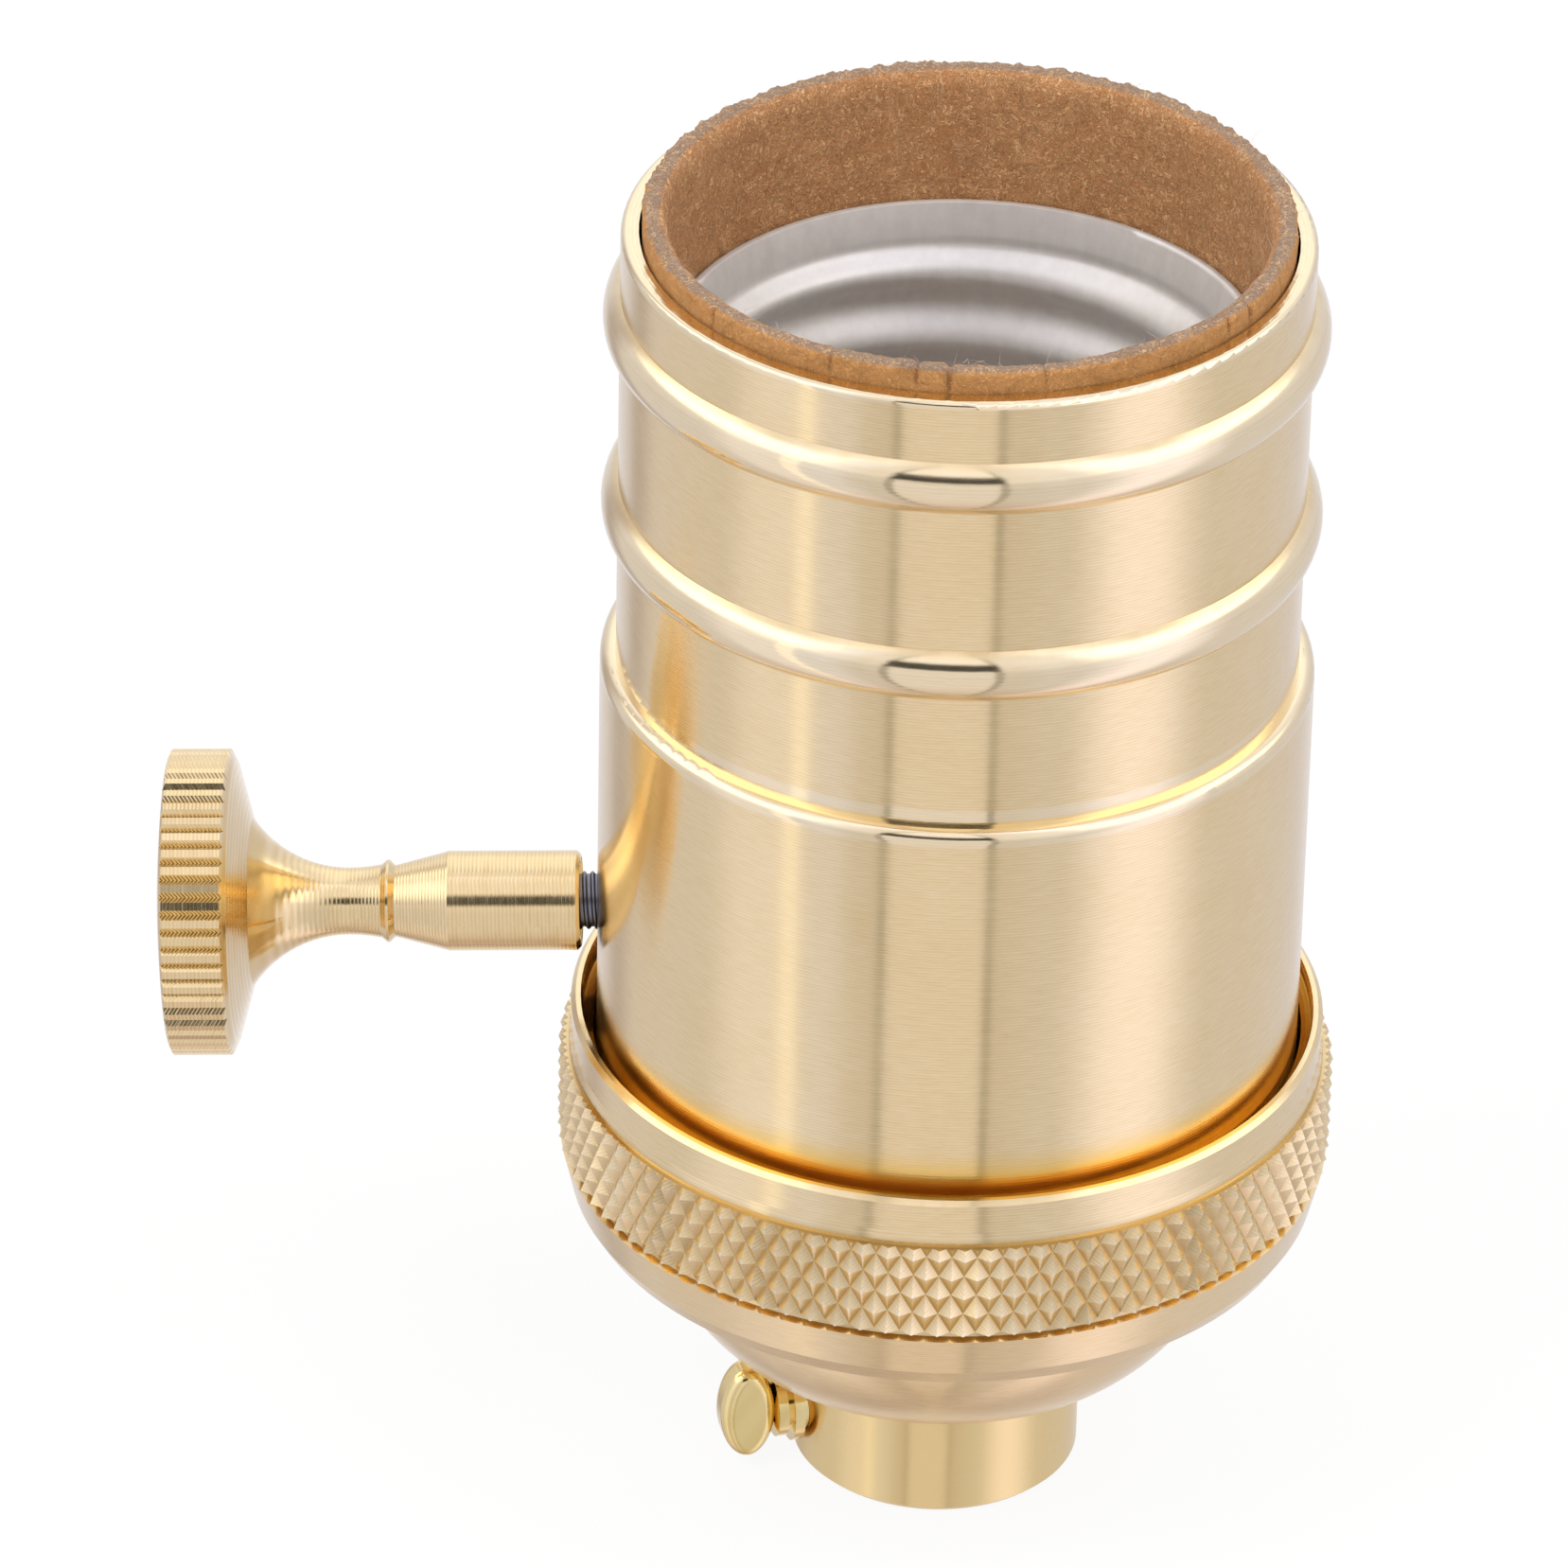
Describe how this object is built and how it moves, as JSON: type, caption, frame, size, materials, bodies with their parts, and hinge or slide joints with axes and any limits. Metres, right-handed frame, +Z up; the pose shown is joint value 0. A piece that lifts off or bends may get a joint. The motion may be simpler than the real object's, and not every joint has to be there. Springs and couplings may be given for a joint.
{
  "type": "lamp holder",
  "caption": "Brass lamp holder for a screw lamp, with a turn-knob switch, knurled cap, threaded hub and side thumb screw.",
  "frame": {"origin": "middle of the hub's bottom face, on the axis of the hub's threaded hole", "axes": "+Z runs up the socket's axis to the lamp opening; the switch knob points to -X; the hub's thread opens to -Z"},
  "size_m": [0.0578, 0.0382, 0.0698],
  "materials": {
    "cap_brass": "lathe-turned, unlacquered",
    "shell_brass": "lathe-turned, unlacquered",
    "knob_brass": "lathe-turned, unlacquered",
    "thumb_brass": "lathe-turned, unlacquered",
    "fibre": "dark brown vulcanised fibre with a grey cut edge",
    "shell_aluminium": "matte rolled sheet",
    "disc_fibre": "red-brown fibre board",
    "contact_brass": "stamped strip",
    "rivet_brass": "plain",
    "phenolic": "moulded phenolic",
    "steel": "zinc-plated",
    "nickel": "nickel-plated"
  },
  "bodies": {
    "socket": {"cap": "cap_brass", "outer_shell": "shell_brass", "fibre_liner": "fibre", "screw_shell": "shell_aluminium", "insulating_disc": "disc_fibre", "centre_contact": "contact_brass", "contact_rivet": "rivet_brass", "body_rivets": "rivet_brass", "switch_block": "phenolic", "switch_cover": "phenolic", "live_terminal": "contact_brass", "live_wiper": "contact_brass", "live_terminal_screw": "rivet_brass", "neutral_terminal": "nickel", "neutral_terminal_screw": "nickel", "detent_spring": "steel"},
    "switch_spindle": {"knob": "knob_brass", "switch_shaft": "steel", "switch_rotor": "phenolic", "rotor_contact": "contact_brass", "retaining_clip": "steel"},
    "thumb_screw": {"thumb_screw": "thumb_brass"}
  },
  "joints": [
    {"name": "knob_turn", "type": "hinge", "parent": "socket", "child": "switch_spindle", "pos_m": [0, 0, 0.0316], "axis": [-0.9992, 0, -0.0401], "continuous": true, "deforming": ["detent_spring"]},
    {"name": "thumb_screw_turn", "type": "hinge", "parent": "socket", "child": "thumb_screw", "pos_m": [0, 0, 0.0031], "axis": [-0.9563, -0.2924, 0], "range_deg": [-360, 360]}
  ]
}
